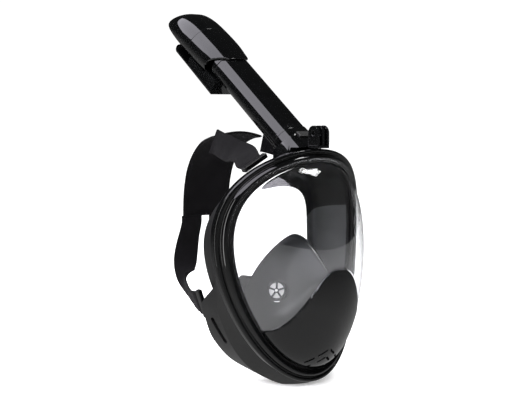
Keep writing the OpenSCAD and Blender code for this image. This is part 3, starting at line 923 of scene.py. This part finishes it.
def oval_band(name, w, d, outline, radius, steps):
    """Closed band round the oval from corners [outwards, along the tube], rounded."""
    corners = rounded(outline, radius, steps)
    rows = []
    for grow, z in corners:
        ring = oval(w + 2 * grow, d + 2 * grow)
        rows.append(np.column_stack([ring, np.full(len(ring), z)]))
    band = new_object(name, rows, grid_faces(len(rows), len(rows[0]), True, True))
    return moved(band, ON_SNORKEL)


def make_tube():
    steps = np.linspace(COLLAR_AT + COLLAR_L + 0.1, HEAD_START - 1, 24)
    outer = [[0, z] for z in steps]
    inner = [[-TUBE_WALL, z] for z in steps[::-1]]
    tube = oval_band("tube", TUBE_W, TUBE_D, outer + inner, 0.5, 2)
    piece(tube, "gloss_black", "snorkel", "snorkel_tube")
    width = TUBE_W - 2 * TUBE_WALL - 4.4
    length = HEAD_START - 16
    divider = rounded_box("tube_divider", (width, 1.6, length), 0.4)
    moved(divider, ON_SNORKEL @ shift(0, 4.8, 8 + length / 2))
    piece(divider, "inner_plastic", "snorkel", "tube_divider")


def make_plug():
    top = COLLAR_AT + COLLAR_L
    outline = [[0.8, COLLAR_AT], [0.8, top], [-4.6, top], [-4.6, COLLAR_AT]]
    collar = oval_band("tube_collar", TUBE_W, TUBE_D, outline, 0.6, 4)
    piece(collar, "gloss_black", "snorkel", "tube_collar")
    low, high = -PLUG_IN + 1, COLLAR_AT - 0.1
    groove = [-9.2, -6.6]
    outline = [
        [0, low], [0, groove[0]], [-0.8, groove[0]], [-0.8, groove[1]], [0, groove[1]], [0, high],
        [-2.4, high], [-2.4, low],
    ]
    plug = oval_band("tube_plug", BORE_W - 0.8, BORE_D - 0.8, outline, 0.5, 3)
    piece(plug, "gloss_black", "snorkel", "tube_plug")
    ring = [[0, -9], [0, -6.8], [-0.7, -6.8], [-0.7, -9]]
    seal_ring = oval_band("plug_o_ring", BORE_W - 0.7, BORE_D - 0.7, ring, 0.34, 4)
    piece(seal_ring, "seal_rubber", "snorkel", "plug_o_ring")


def make_head_base():
    low, high = HEAD_START - 0.9, HEAD_START + 6
    outline = [[0, low], [0, high], [-2.3, high], [-2.3, low]]
    base = oval_band("head_base", TUBE_W + 0.6, TUBE_D + 0.6, outline, 0.6, 4)
    piece(base, "gloss_black", "snorkel", "head_base")


# Cap: stations from its lip to its tip, as share of its length, rearward shift, width and depth beyond
# the tube's, and tilt
CAP_STATIONS = [
    (0, 0, 4, 4.2, 0), (0.11, 0.4, 7.4, 7.4, 0), (0.26, 0.9, 10.4, 10.6, 0), (0.48, 2.2, 10.9, 12.1, 3),
    (0.66, 3.5, 9.9, 11.6, 7), (0.81, 5.4, 6.4, 8.6, 13), (0.91, 8, 0.4, 3.6, 21),
    (0.97, 10.5, -7.6, -3.4, 27), (1, 12.5, -18.6, -13.4, 31),
]
CAP_TABLE = curve_through(
    [(CAP_START + u * CAP_L, b, TUBE_W + w, TUBE_D + d, t) for u, b, w, d, t in CAP_STATIONS], 12
)
# Sweep of the lip from the front of the cap to its sides, as depth behind the axis and height
WING_Z = 22.5
LIP_SWEEP = [
    [-30, 0], [-17.5, 0], [-14.4, 5.5], [-10.4, 11], [-5.5, 16], [-1.4, 19], [3.7, 21], [8, WING_Z],
    [30, WING_Z],
]
LIP_TABLE = curve_through(LIP_SWEEP, 10)


def cap_at(z):
    """Rearward shift, width, depth and tilt in radians of the cap at these heights."""
    back, w, d, tilt = (np.interp(z, CAP_TABLE[:, 0], CAP_TABLE[:, k]) for k in (1, 2, 3, 4))
    return back, w, d, np.radians(tilt)


def cap_ring(z, inset):
    """Ring round the cap's form at height z, inset from its surface."""
    back, w, d, t = cap_at(z)
    ring = oval(max(w - 2 * inset, 1.0), max(d - 2 * inset, 0.8))
    return np.column_stack([ring[:, 0], back + ring[:, 1] * math.cos(t), z + ring[:, 1] * math.sin(t)])


def cap_front(z, s, inset):
    """Points on the cap ahead of the hood at heights z, with s from -1 to 1 across its open rear."""
    back, w, d, t = cap_at(z)
    r, h = d / 2 - inset, (w - d) / 2
    rear = (HOOD_IN - GAP - back) / np.cos(t)
    end = np.arcsin(np.clip(rear / r, -1, 1))
    along = np.abs(s) * (h + r * (end + math.pi / 2))
    a = -math.pi / 2 + np.maximum(along - h, 0) / r
    x = np.where(along < h, along, h + r * np.cos(a)) * np.sign(s)
    y = np.where(along < h, -r, r * np.sin(a))
    return np.stack([x, back + y * np.cos(t), z + y * np.sin(t)], -1)


def lip_height(y):
    return CAP_START + np.interp(y, LIP_TABLE[:, 0], LIP_TABLE[:, 1])


def make_cap():
    """Front shell of the head, from its swept lip to the parting line. A few rounds settle the lip."""
    s = np.linspace(-1, 1, 181)[None, :]
    sides = []
    for inset in (0.0, CAP_WALL):
        low = np.full_like(s, CAP_START + 12)
        for _ in range(12):
            low = lip_height(cap_front(low, s, 0.0)[..., 1])
        u = np.linspace(0, 1, 49)[:, None] ** 1.15
        thinned = np.where(u < 0.04, inset * 0.62, inset)
        sides.append(cap_front(low + (CAP_SPLIT - low) * u, s + 0 * u, thinned))
    cap = new_object("head_cap", *shell_between(*sides))
    bevelled(cap, 0.45, 3, 50)
    moved(cap, ON_SNORKEL)
    piece(cap, "gloss_black", "snorkel", "head_cap")


def make_cap_top():
    """Closed top of the head: outside rings, a rounded crown, and inside rings back to the parting line."""
    low = CAP_SPLIT + 0.1
    high = CAP_START + CAP_L
    steps = [(low, CAP_WALL), (low, 0.5), (low + 0.12, 0.14), (low + 0.45, 0.0)]
    steps += [(z, 0) for z in low + (high - low) * spread(np.linspace(0.03, 1, 60))]
    outer = [cap_ring(z, inset) for z, inset in steps]
    tip = outer[-1].mean(0)
    up = np.array([0, -0.52, 0.86])
    crown = []
    for u in np.linspace(0.12, 1, 9):
        a = u * math.pi / 2
        crown.append(tip + (outer[-1] - tip) * max(math.cos(a), 0.02) + up * 2.2 * math.sin(a))
    inside = [cap_ring(z, CAP_WALL) for z in np.linspace(high - 4, low, 24)[:-1]]
    points = np.stack([*outer, *crown, *inside])
    rows, cols = points.shape[:2]
    ceiling, foot = (rows - len(inside)) * cols, (rows - 1) * cols
    faces = grid_faces(rows - len(inside), cols, False, True)
    faces += grid_faces(len(inside), cols, False, True, ceiling)
    faces.append([ceiling - cols + j for j in range(cols)])
    faces.append([ceiling + j for j in range(cols - 1, -1, -1)])
    faces += [[foot + j, foot + (j + 1) % cols, (j + 1) % cols, j] for j in range(cols)]
    cap = new_object("head_cap_top", points, faces)
    moved(cap, ON_SNORKEL)
    piece(cap, "gloss_black", "snorkel", "head_cap_top")


def prism(name, outline, low, high, axis):
    """Prism of a flat outline, which lies across the axis it is drawn out along."""
    o = np.asarray(outline, float)
    rows = []
    for level in (low, high):
        rows.append(np.insert(o, axis, level, axis=1))
    faces = grid_faces(2, len(o), False, True)
    faces += [list(range(len(o) - 1, -1, -1)), list(range(len(o), 2 * len(o)))]
    return new_object(name, rows, faces)


def oval_prism(name, w, d, low, high):
    return prism(name, oval(w, d), low, high, 2)


def make_hood():
    """Flat chamber behind the cap whose outer wall runs on past the air gap as a free lip."""
    outer = HOOD_IN + HOOD_T
    inner = outer - HOOD_SHELL
    wing_y, wing_top = 12.0, CAP_START + WING_Z - GAP
    side = [
        [wing_y, CAP_START], [outer - 0.4, CAP_START], [outer + 0.2, CAP_START + 24],
        [outer, HOOD_TIP - 15], [outer - 0.9, HOOD_TIP - 6], [outer - 2.6, HOOD_TIP],
        [inner - 0.3, HOOD_TIP], [inner, HOOD_TIP - 12], [inner, HOOD_LOW],
        [HOOD_IN, HOOD_LOW], [HOOD_IN, wing_top], [wing_y, wing_top],
    ]
    half = HOOD_W / 2
    right = [
        [half, 100], [half, HOOD_TIP - 24], [half - 1.2, HOOD_TIP - 13], [half - 4, HOOD_TIP - 5],
        [11, HOOD_TIP],
    ]
    rear = right + [[-x, z] for x, z in right[::-1]]
    plan = rounded([[half, 5], [half, outer + 0.2], [-half, outer + 0.2], [-half, 5]], 5, 10)
    hood = prism("head_hood", rounded(side, 1.4, 5), -half - 1, half + 1, 0)
    for other in (prism("rear", rounded(rear, 3, 6), 5, 60, 1), prism("plan", plan, 100, 260, 2)):
        joined(hood, [other], "INTERSECT")
    chamber_d = HOOD_T - HOOD_WALL - HOOD_SHELL
    chamber = rounded_box("chamber", (CHAMBER_W, chamber_d, 100), 1.2)
    moved(chamber, shift(0, HOOD_IN + HOOD_WALL + chamber_d / 2, CAP_START + HOOD_WALL + 50))
    tube = oval_prism("tube", TUBE_W + 2 * GAP, TUBE_D + 2 * GAP, 100, 260)
    joined(hood, [chamber, tube], "DIFFERENCE")
    bevelled(hood, 0.5, 3, 35)
    moved(hood, ON_SNORKEL)
    piece(hood, "gloss_black", "snorkel", "head_hood", 35)


CHAMBER_Y = HOOD_IN + (HOOD_WALL + HOOD_T - HOOD_SHELL) / 2
CAGE_AT = HOOD_LOW - 5
FLOAT_W = 30
FLOAT_L = 26.0
FLOAT_T = 6.6
FLOAT_SEAL = 1.8
CAGE_T = 2.4
FLOAT_RISE = 10
FLOAT_START = CAGE_AT - FLOAT_RISE - FLOAT_L - FLOAT_SEAL - 2 * GAP


def make_float():
    block = rounded_box("float_block", (FLOAT_W, FLOAT_T, FLOAT_L), 1.4)
    moved(block, ON_SNORKEL @ shift(0, CHAMBER_Y, FLOAT_START + FLOAT_L / 2))
    piece(block, "satin_black", "float", "float_block")
    pad = rounded_box("float_seal", (FLOAT_W - 2, FLOAT_T - 0.8, FLOAT_SEAL), 0.6)
    moved(pad, ON_SNORKEL @ shift(0, CHAMBER_Y, FLOAT_START + FLOAT_L + FLOAT_SEAL / 2))
    piece(pad, "seal_rubber", "float", "float_seal")
    cage = rounded_box("float_cage", (CHAMBER_W - 0.4, 7.5, CAGE_T), 0.5)
    port = rounded_box("port", (24, 4.3, 8), 1.2)
    joined(cage, [port], "DIFFERENCE")
    moved(cage, ON_SNORKEL @ shift(0, CHAMBER_Y, CAGE_AT + CAGE_T / 2))
    piece(cage, "inner_plastic", "snorkel", "float_cage")


# -------- socket, latch and camera mount

SOCKET_MOUTH = 3.0
SOCKET_FOOT = ((-22, 22), (-65, -41), (103, 116))
SOCKET_SLEEVE = (-8, -6)
# What lies ahead of this depth and below this height is cut away
SOCKET_CUTS = [(-66, 119), (-78.2, 128), (100, 104)]
CUTTER = 200
BUTTON_W = 16.0
BUTTON_L = 8.0
BUTTON_T = 3.4
BUTTON_AT = -9.0
BUTTON_OUT = TUBE_D / 2 + 3


def hull_of(name, points):
    """Convex hull of points in millimetres."""
    bm = bmesh.new()
    for p in points:
        bm.verts.new(Vector(p) * MM)
    result = bmesh.ops.convex_hull(bm, input=bm.verts)
    unused = result["geom_interior"] + result["geom_unused"]
    loose = {g for g in unused if isinstance(g, bmesh.types.BMVert)}
    bmesh.ops.delete(bm, geom=list(loose), context="VERTS")
    bmesh.ops.dissolve_limit(bm, angle_limit=math.radians(0.5), verts=bm.verts, edges=bm.edges)
    return from_bmesh(name, bm)


def make_socket():
    """Flared socket: an oval sleeve hulled to a foot on the brow, cut level in steps and bored."""
    w, d = TUBE_W + 2, TUBE_D + 2
    socket = moved(oval_prism("snorkel_socket", w, d, -40, SOCKET_MOUTH), ON_SNORKEL)
    ring = oval(w + 1, d + 1)
    upper = [ON_SNORKEL @ Vector((x, y, z)) for z in SOCKET_SLEEVE for x, y in ring]
    wide, deep, high = SOCKET_FOOT
    foot = [Vector((x, y, z)) for x in wide for y in deep for z in high]
    flare = hull_of("flare", upper + foot)
    joined(socket, [flare], "UNION")
    cuts = [
        moved(oval_prism("bore", BORE_W, BORE_D, -PLUG_IN, 60), ON_SNORKEL),
        moved(oval_prism("throat", BORE_W - 8, BORE_D - 8, -90, 10), ON_SNORKEL),
    ]
    for ahead, below in SOCKET_CUTS:
        step = rounded_box("step", (CUTTER, CUTTER, CUTTER), 0.5)
        cuts.append(moved(step, shift(0, ahead - CUTTER / 2, below - CUTTER / 2)))
    button_pocket = rounded_box("pocket", (BUTTON_W + 2 * GAP, 40, BUTTON_L + 2 * GAP), 1.2)
    cuts.append(moved(button_pocket, ON_SNORKEL @ shift(0, -20, BUTTON_AT)))
    joined(socket, cuts, "DIFFERENCE")
    bevelled(socket, 0.5, 3, 50)
    piece(socket, "gloss_black", "mask", "snorkel_socket", 30)


def make_button():
    button = rounded_box("release_button", (BUTTON_W, BUTTON_T, BUTTON_L), 0.8)
    ribs = []
    for k in (-2, 0, 2):
        rib = rounded_box("rib", (BUTTON_W - 4, 0.9, 0.8), 0.3)
        ribs.append(moved(rib, shift(0, -BUTTON_T / 2 + 0.42, k)))
    joined(button, ribs, "DIFFERENCE")
    moved(button, ON_SNORKEL @ shift(0, -BUTTON_OUT + BUTTON_T / 2, BUTTON_AT))
    piece(button, "satin_black", "latch_button", "release_button", 35)


MOUNT_AT = (0.0, -86.5, 133.0)
PRONG_T = 3.0
MOUNT_W = 15.0
MOUNT_R = 7.5
MOUNT_BORE = 2.5
MOUNT_FOOT = 12.5


def prong(name):
    """Plate across X with a rounded head, square foot and a bore."""
    steps = 128
    a = np.arange(steps) * 2 * math.pi / steps
    y, z = np.cos(a), np.sin(a)
    square = np.minimum(MOUNT_R / np.maximum(np.abs(y), 1e-6), MOUNT_FOOT / np.maximum(-z, 1e-6))
    far = np.where(z >= 0, MOUNT_R, square)
    rows = []
    for u, side in rounded([[0, -1], [1, -1], [1, 1], [0, 1]], 0.18, 3):
        r = MOUNT_BORE + (far - MOUNT_BORE) * u
        rows.append(np.column_stack([np.full(steps, side * PRONG_T / 2), r * y, r * z]))
    return new_object(name, rows, grid_faces(len(rows), steps, True, True))


def make_camera_mount():
    mount = prong("camera_mount")
    offset = (MOUNT_W - PRONG_T) / 2
    sides = [moved(prong("side"), shift(k * offset)) for k in (-1, 1)]
    base = rounded_box("base", (MOUNT_W, 15, 3), 0.5)
    moved(base, shift(0, 0, -13.3))
    joined(mount, [*sides, base], "UNION")
    moved(mount, shift(*MOUNT_AT))
    piece(mount, "gloss_black", "mask", "camera_mount", 35)


# -------- head harness

STRAP_W = 26.0
STRAP_T = 2.0
UPPER_T = -28.0
UPPER_ANCHOR = rim(UPPER_T, 2.4, -15.2)
LOWER_ANCHOR = np.array([-73.5, 12.0, -42.0])
LOWER_TILT = 20.0
STRAP_STEPS = 14
RIPPLE = 0.25
SLANT = 9.0
SLANT_STEPS = 20
UPPER_ROUTE = [
    UPPER_ANCHOR, UPPER_ANCHOR + [0, 10, 1], [-43, -20, 112], [-39.5, 3, 114], [-35.5, 28, 119],
    [-33, 43, 122.5], [-32.6, 53, 123.5],
]
LOWER_ROUTE = [
    [-18.5, 114, 38.5], [-18.5, 114, 30], [-19.5, 119, 14], [-20, 124, -5], [-22, 124, -25], [-28, 113, -38],
    [-38, 90, -44], [-50, 65, -46], [-63, 40, -45], LOWER_ANCHOR + [0, 10, 0], LOWER_ANCHOR + [0, -3, 0],
]


def strap_frames(route, out_first, out_last, turned):
    """Centre, across and face vectors along a strap that turns over between two of its stations."""
    route = np.asarray(route, float)
    station = np.arange(len(route))
    run = route[np.minimum(station + 1, station[-1])] - route[np.maximum(station - 1, 0)]
    share = smooth(station, *turned)[:, None]
    out_first, out_last = np.asarray(out_first), np.asarray(out_last)
    across = unit(np.cross(run, out_first + (out_last - out_first) * share))
    face = unit(np.cross(across, run))
    fine = curve_through(np.concatenate([route, across, face], axis=1), STRAP_STEPS)
    return fine[:, :3], fine[:, 3:6], fine[:, 6:9]


def lengths_along(points):
    steps = np.linalg.norm(np.diff(points, axis=0), axis=1)
    return np.concatenate([[0], np.cumsum(steps)])


def band(name, centre, across, face, slant):
    """Flat band with rolled edges and a slanted far end. Its map is across and along in millimetres."""
    half_w, half_t = STRAP_W / 2, STRAP_T / 2
    u = np.linspace(-1, 1, 25)
    crown = 1 - 0.12 * np.abs(u) ** 6
    upper = np.column_stack([u * half_w, half_t * crown])
    nose = np.array([[half_w + 0.28, 0.45 * half_t], [half_w + 0.28, -0.45 * half_t]])
    section = np.concatenate([upper, nose, upper[::-1] * [1, -1], -nose])
    across, face = unit(across), unit(face)
    along = lengths_along(centre)
    ripple = RIPPLE * np.sin(along * 0.21) * np.sin(along * 0.083 + 1)
    points = (centre + face * ripple[:, None])[:, None] + across[:, None] * section[None, :, :1]
    points = points + face[:, None] * section[None, :, 1:]
    count = len(centre)
    cut = slant * smooth(np.arange(count), count - SLANT_STEPS, count - 1)[:, None]
    back = cut * (0.5 + section[None, :, 0] / STRAP_W)
    points -= unit(np.gradient(centre, axis=0))[:, None] * back[..., None]
    uv = np.stack(np.broadcast_arrays(section[None, :, 0], along[:, None]), -1)
    rows, cols = points.shape[:2]
    faces = grid_faces(rows, cols, False, True)
    faces.append(list(range(cols - 1, -1, -1)))
    faces.append([(rows - 1) * cols + j for j in range(cols)])
    return new_object(name, points, faces, uv)


def mirrored(obj):
    """Mirrors the mesh to the wearer's left."""
    obj.data.transform(Matrix.Scale(-1, 4, Vector((1, 0, 0))))
    face_outwards(obj)


def make_straps():
    turned, tilt = math.radians(UPPER_T), math.radians(LOWER_TILT)
    first_out, last_out = [math.sin(turned), 0, math.cos(turned)], [math.cos(tilt), 0, math.sin(tilt)]
    upper = strap_frames(UPPER_ROUTE, first_out, [-1, 0, 0.1], (1, 5))
    lower = strap_frames(LOWER_ROUTE, [0, 1, 0.1], last_out, (1, 6))
    for side in ("right", "left"):
        for level, frames, slant in (("upper", upper, SLANT), ("lower", lower, 0)):
            node = f"strap_{level}_{side}"
            strap = band(node, *frames, slant)
            if side == "left":
                mirrored(strap)
            piece(strap, "strap_webbing", "mask", node, 50, weighted=False)


PANEL_HALF_W = 31.0
PANEL_BOW = 5.0
HEM = 5.5
STITCH_AT = 3.4
PANEL_ROUTE = [
    [112.5, 37], [111.5, 58], [108.5, 76], [102.5, 93], [92, 108], [78, 119.5], [62, 125.5], [47, 127.5],
]


def make_panel():
    """Cloth panel bowed across and curving forwards over its top, with a stitched hem."""
    route = curve_through(PANEL_ROUTE, 18)
    run = unit(np.gradient(route, axis=0))
    out = np.column_stack([0 * run[:, 0], run[:, 1], -run[:, 0]])
    along = lengths_along(route)
    length = along[-1]
    u = np.linspace(-1, 1, 61)[:, None]
    near = np.minimum((1 - np.abs(u)) * PANEL_HALF_W, np.minimum(along, length - along)[None, :])
    hem = 0.35 * smooth(HEM - near, 0, 1.2) - 0.3 * np.exp(-(((near - STITCH_AT) / 0.35) ** 2))
    sag = 0.5 * np.sin(3.1 * u + 1) * np.cos(0.09 * along) * (1 - u**2)
    roll = STRAP_T / 2 * np.sqrt(np.clip(1 - (1 - np.clip(near / 1.2, 0, 1)) ** 2, 0.04, 1))
    bow = (PANEL_BOW * (1 - u**2) + sag)[..., None]
    side = np.array([1, 0, 0]) * (u * PANEL_HALF_W + 0 * near)[..., None]
    middle = side + np.column_stack([0 * along, route])[None] + out[None] * bow
    thick = (roll * (0.85 + hem))[..., None]
    points, faces = shell_between(middle + out * thick, middle - out * thick)
    flat = np.stack([along + 0 * u, u * PANEL_HALF_W + 0 * along], -1).reshape(-1, 2)
    panel = new_object("strap_back_panel", points, faces, np.concatenate([flat, flat]))
    piece(panel, "strap_webbing", "mask", "strap_back_panel", 60, weighted=False)


CLIP_SIZE = (5, 6.6, 31)
CLIP_SLOT = (3.2, 12, 27)


def clip():
    outer = rounded_box("clip", CLIP_SIZE, 1.0)
    joined(outer, [rounded_box("slot", CLIP_SLOT, 0.8)], "DIFFERENCE")
    return outer


def make_clips():
    upper = shift(*UPPER_ANCHOR) @ turn(0, UPPER_T - 90, 0)
    lower = shift(*LOWER_ANCHOR) @ turn(0, -LOWER_TILT, 0)
    for side in ("right", "left"):
        for level, place in (("upper", upper), ("lower", lower)):
            made = moved(clip(), place)
            if side == "left":
                mirrored(made)
            piece(made, "clip_black", "mask", f"strap_clip_{level}_{side}", 35)


# -------- build

add_camera()
add_world()
add_floor()
for box_name, softbox in SOFTBOXES.items():
    add_light(box_name, *softbox)

make_ring()
make_gasket()
make_rear_frame()
make_lens()
make_chin_cover()
make_skirt()
make_pocket()
for intake in ("right", "left"):
    make_seat(intake, f"intake_seat_{intake}")
    make_flap(intake, f"intake_flap_{intake}")
make_seat("drain", "purge_seat")
make_flap("drain", "purge_flap")
make_socket()
make_button()
make_camera_mount()
make_tube()
make_plug()
make_head_base()
make_cap()
make_cap_top()
make_hood()
make_float()
make_straps()
make_panel()
make_clips()

scene.view_settings.view_transform = "Standard"
